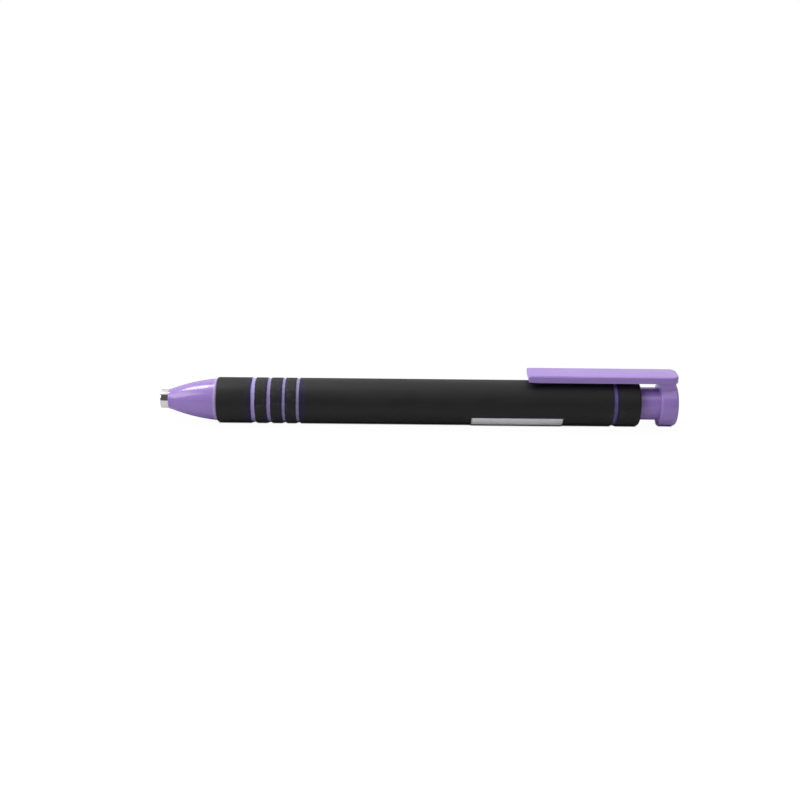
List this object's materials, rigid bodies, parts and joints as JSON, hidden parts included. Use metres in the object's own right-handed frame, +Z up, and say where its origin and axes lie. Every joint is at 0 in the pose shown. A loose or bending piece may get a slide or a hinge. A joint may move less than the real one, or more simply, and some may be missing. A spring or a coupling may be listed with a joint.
{
  "type": "knock eraser pen",
  "caption": "Slim black knock eraser pen with a lilac cone, press button and pocket clip, and a sprung chuck that feeds a round eraser stick.",
  "frame": {"origin": "under the middle of the pen, on the surface it lies on", "axes": "+X along the pen from tip to button, +Z up through the pocket clip"},
  "size_m": [0.1264, 0.011, 0.0135],
  "materials": {
    "barrel_coat": "black soft-touch coat over lilac plastic",
    "lilac_gloss": "moulded lilac plastic",
    "bright_metal": "bright plated metal",
    "grey_rubber": "soft rubber",
    "brass": "turned brass",
    "white_plastic": "moulded natural plastic",
    "spring_steel": "drawn wire",
    "eraser_vinyl": "white eraser vinyl",
    "label_film": "pale printed film, bare"
  },
  "bodies": {
    "holder": {"barrel": "barrel_coat", "clutch_sleeve": "white_plastic", "return_spring": "spring_steel", "side_label": "label_film"},
    "knock": {"knock_button": "lilac_gloss", "eraser_tube": "white_plastic", "tube_adapter": "white_plastic", "chuck_stem": "white_plastic"},
    "clip": {"pocket_clip": "lilac_gloss"},
    "jaw_1": {"chuck_jaw_1": "brass"},
    "jaw_2": {"chuck_jaw_2": "brass"},
    "jaw_3": {"chuck_jaw_3": "brass"},
    "ring": {"clutch_ring": "brass"},
    "eraser": {"eraser_stick": "eraser_vinyl"},
    "retainer": {"eraser_retainer": "grey_rubber"},
    "nose": {"nose_cone": "lilac_gloss", "tip_pipe": "bright_metal"}
  },
  "joints": [
    {"name": "knock_press", "type": "slide", "parent": "holder", "child": "knock", "axis": [-1, 0, 0], "range_m": [0, 0.004], "stiffness_N_per_m": 350, "springref_m": -0.004, "deforming": ["return_spring"]},
    {"name": "clip_flex", "type": "hinge", "parent": "knock", "child": "clip", "pos_m": [0.063, 0, 0.01188], "axis": [0, 1, 0], "range_deg": [0, 2.5], "stiffness_Nm_per_rad": 1.5},
    {"name": "jaw_1_open", "type": "hinge", "parent": "knock", "child": "jaw_1", "pos_m": [-0.03814, 0, 0.0079], "axis": [0, 1, 0], "range_deg": [0, 2]},
    {"name": "jaw_2_open", "type": "hinge", "parent": "knock", "child": "jaw_2", "pos_m": [-0.03814, -0.00208, 0.0043], "axis": [0, -0.5, 0.866], "range_deg": [0, 2]},
    {"name": "jaw_3_open", "type": "hinge", "parent": "knock", "child": "jaw_3", "pos_m": [-0.03814, 0.00208, 0.0043], "axis": [0, -0.5, -0.866], "range_deg": [0, 2]},
    {"name": "clutch_ring_slide", "type": "slide", "parent": "holder", "child": "ring", "axis": [-1, 0, 0], "range_m": [0, 0.0014]},
    {"name": "eraser_feed", "type": "slide", "parent": "holder", "child": "eraser", "axis": [-1, 0, 0], "range_m": [0, 0.094]},
    {"name": "nose_cone_advance", "type": "slide", "parent": "holder", "child": "retainer", "axis": [-1, 0, 0], "range_m": [0, 0.008]},
    {"name": "nose_cone_turn", "type": "hinge", "parent": "retainer", "child": "nose", "pos_m": [-0.0552, 0, 0.0055], "axis": [-1, 0, 0], "range_deg": [0, 2880]}
  ],
  "couplings": [
    {"joint": "jaw_1_open", "follows": "knock_press", "rad_per_m": 8.7258},
    {"joint": "jaw_2_open", "follows": "knock_press", "rad_per_m": 8.7258},
    {"joint": "jaw_3_open", "follows": "knock_press", "rad_per_m": 8.7258},
    {"joint": "clutch_ring_slide", "follows": "knock_press", "ratio": 0.35},
    {"joint": "nose_cone_turn", "follows": "nose_cone_advance", "rad_per_m": 6283}
  ]
}
